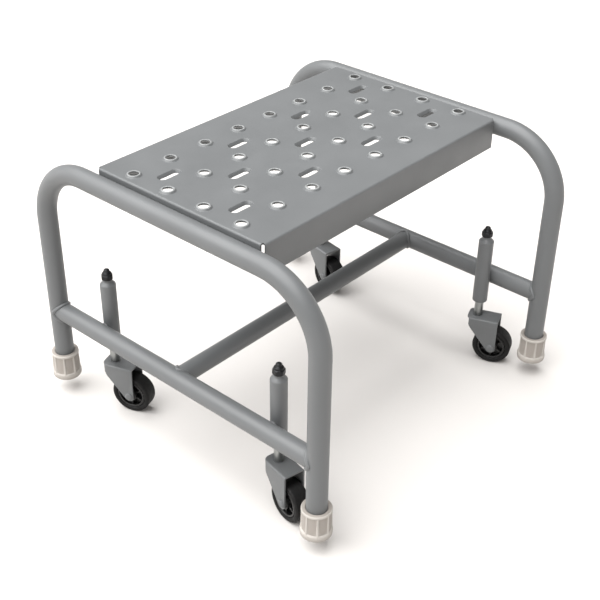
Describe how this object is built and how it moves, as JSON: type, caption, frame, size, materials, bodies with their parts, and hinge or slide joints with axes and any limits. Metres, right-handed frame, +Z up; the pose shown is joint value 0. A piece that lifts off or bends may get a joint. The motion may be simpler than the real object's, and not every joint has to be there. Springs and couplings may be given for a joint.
{
  "type": "mobile ladder stand",
  "caption": "One-step rolling ladder stand: a perforated sheet-steel tread between bent-tube side frames, on sprung swivel casters that retract under load onto rubber feet.",
  "frame": {"origin": "on the floor under the middle of the stand, at the height of the wheels' lowest points", "axes": "+X right, along the tread's long side; +Y to the rear; +Z up. The casters trail towards the front, -Y"},
  "size_m": [0.464, 0.454, 0.3372],
  "materials": {
    "grey_enamel": "semi-gloss baked enamel over steel",
    "foot_rubber": "matt off-white non-marking rubber",
    "nylon": "natural moulded nylon",
    "zinc_steel": "turned, zinc plated",
    "spring_steel": "oiled spring wire",
    "black_oxide_steel": "black oxide",
    "wheel_plastic": "moulded black polypropylene",
    "wheel_rubber": "hard black rubber"
  },
  "bodies": {
    "frame": {"side_frame_left": "grey_enamel", "side_frame_right": "grey_enamel", "stretcher_left": "grey_enamel", "stretcher_right": "grey_enamel", "cross_tube": "grey_enamel", "tread": "grey_enamel", "foot_front_left": "foot_rubber", "caster_housing_front_left": "grey_enamel", "lower_bush_front_left": "nylon", "upper_bush_front_left": "nylon", "foot_front_right": "foot_rubber", "caster_housing_front_right": "grey_enamel", "lower_bush_front_right": "nylon", "upper_bush_front_right": "nylon", "foot_rear_left": "foot_rubber", "caster_housing_rear_left": "grey_enamel", "lower_bush_rear_left": "nylon", "upper_bush_rear_left": "nylon", "foot_rear_right": "foot_rubber", "caster_housing_rear_right": "grey_enamel", "lower_bush_rear_right": "nylon", "upper_bush_rear_right": "nylon"},
    "spring_carriage_front_left": {"spring_seat_front_left": "zinc_steel", "spring_front_left": "spring_steel"},
    "swivel_front_left": {"caster_stem_front_left": "zinc_steel", "lock_nut_front_left": "black_oxide_steel", "fork_front_left": "grey_enamel", "axle_rivet_front_left": "grey_enamel", "wheel_sleeve_front_left": "zinc_steel"},
    "wheel_front_left": {"wheel_core_front_left": "wheel_plastic", "tyre_front_left": "wheel_rubber"},
    "spring_carriage_front_right": {"spring_seat_front_right": "zinc_steel", "spring_front_right": "spring_steel"},
    "swivel_front_right": {"caster_stem_front_right": "zinc_steel", "lock_nut_front_right": "black_oxide_steel", "fork_front_right": "grey_enamel", "axle_rivet_front_right": "grey_enamel", "wheel_sleeve_front_right": "zinc_steel"},
    "wheel_front_right": {"wheel_core_front_right": "wheel_plastic", "tyre_front_right": "wheel_rubber"},
    "spring_carriage_rear_left": {"spring_seat_rear_left": "zinc_steel", "spring_rear_left": "spring_steel"},
    "swivel_rear_left": {"caster_stem_rear_left": "zinc_steel", "lock_nut_rear_left": "black_oxide_steel", "fork_rear_left": "grey_enamel", "axle_rivet_rear_left": "grey_enamel", "wheel_sleeve_rear_left": "zinc_steel"},
    "wheel_rear_left": {"wheel_core_rear_left": "wheel_plastic", "tyre_rear_left": "wheel_rubber"},
    "spring_carriage_rear_right": {"spring_seat_rear_right": "zinc_steel", "spring_rear_right": "spring_steel"},
    "swivel_rear_right": {"caster_stem_rear_right": "zinc_steel", "lock_nut_rear_right": "black_oxide_steel", "fork_rear_right": "grey_enamel", "axle_rivet_rear_right": "grey_enamel", "wheel_sleeve_rear_right": "zinc_steel"},
    "wheel_rear_right": {"wheel_core_rear_right": "wheel_plastic", "tyre_rear_right": "wheel_rubber"}
  },
  "joints": [
    {"name": "caster_travel_front_left", "type": "slide", "parent": "frame", "child": "spring_carriage_front_left", "axis": [0, 0, 1], "range_m": [0, 0.0215], "stiffness_N_per_m": 2500, "springref_m": -0.024, "deforming": ["spring_front_left"]},
    {"name": "swivel_front_left", "type": "hinge", "parent": "spring_carriage_front_left", "child": "swivel_front_left", "pos_m": [-0.1931, -0.136, 0.1684], "axis": [0, 0, 1], "continuous": true},
    {"name": "wheel_spin_front_left", "type": "hinge", "parent": "swivel_front_left", "child": "wheel_front_left", "pos_m": [-0.19788, -0.1585, 0.025], "axis": [0.9781, -0.2079, 0], "continuous": true},
    {"name": "caster_travel_front_right", "type": "slide", "parent": "frame", "child": "spring_carriage_front_right", "axis": [0, 0, 1], "range_m": [0, 0.0215], "stiffness_N_per_m": 2500, "springref_m": -0.024, "deforming": ["spring_front_right"]},
    {"name": "swivel_front_right", "type": "hinge", "parent": "spring_carriage_front_right", "child": "swivel_front_right", "pos_m": [0.1931, -0.136, 0.1684], "axis": [0, 0, 1], "continuous": true},
    {"name": "wheel_spin_front_right", "type": "hinge", "parent": "swivel_front_right", "child": "wheel_front_right", "pos_m": [0.20134, -0.15747, 0.025], "axis": [0.9336, 0.3584, 0], "continuous": true},
    {"name": "caster_travel_rear_left", "type": "slide", "parent": "frame", "child": "spring_carriage_rear_left", "axis": [0, 0, 1], "range_m": [0, 0.0215], "stiffness_N_per_m": 2500, "springref_m": -0.024, "deforming": ["spring_rear_left"]},
    {"name": "swivel_rear_left", "type": "hinge", "parent": "spring_carriage_rear_left", "child": "swivel_rear_left", "pos_m": [-0.1931, 0.136, 0.1684], "axis": [0, 0, 1], "continuous": true},
    {"name": "wheel_spin_rear_left", "type": "hinge", "parent": "swivel_rear_left", "child": "wheel_rear_left", "pos_m": [-0.18523, 0.11439, 0.025], "axis": [0.9397, 0.342, 0], "continuous": true},
    {"name": "caster_travel_rear_right", "type": "slide", "parent": "frame", "child": "spring_carriage_rear_right", "axis": [0, 0, 1], "range_m": [0, 0.0215], "stiffness_N_per_m": 2500, "springref_m": -0.024, "deforming": ["spring_rear_right"]},
    {"name": "swivel_rear_right", "type": "hinge", "parent": "spring_carriage_rear_right", "child": "swivel_rear_right", "pos_m": [0.1931, 0.136, 0.1684], "axis": [0, 0, 1], "continuous": true},
    {"name": "wheel_spin_rear_right", "type": "hinge", "parent": "swivel_rear_right", "child": "wheel_rear_right", "pos_m": [0.18871, 0.11342, 0.025], "axis": [0.9816, -0.1908, 0], "continuous": true}
  ]
}
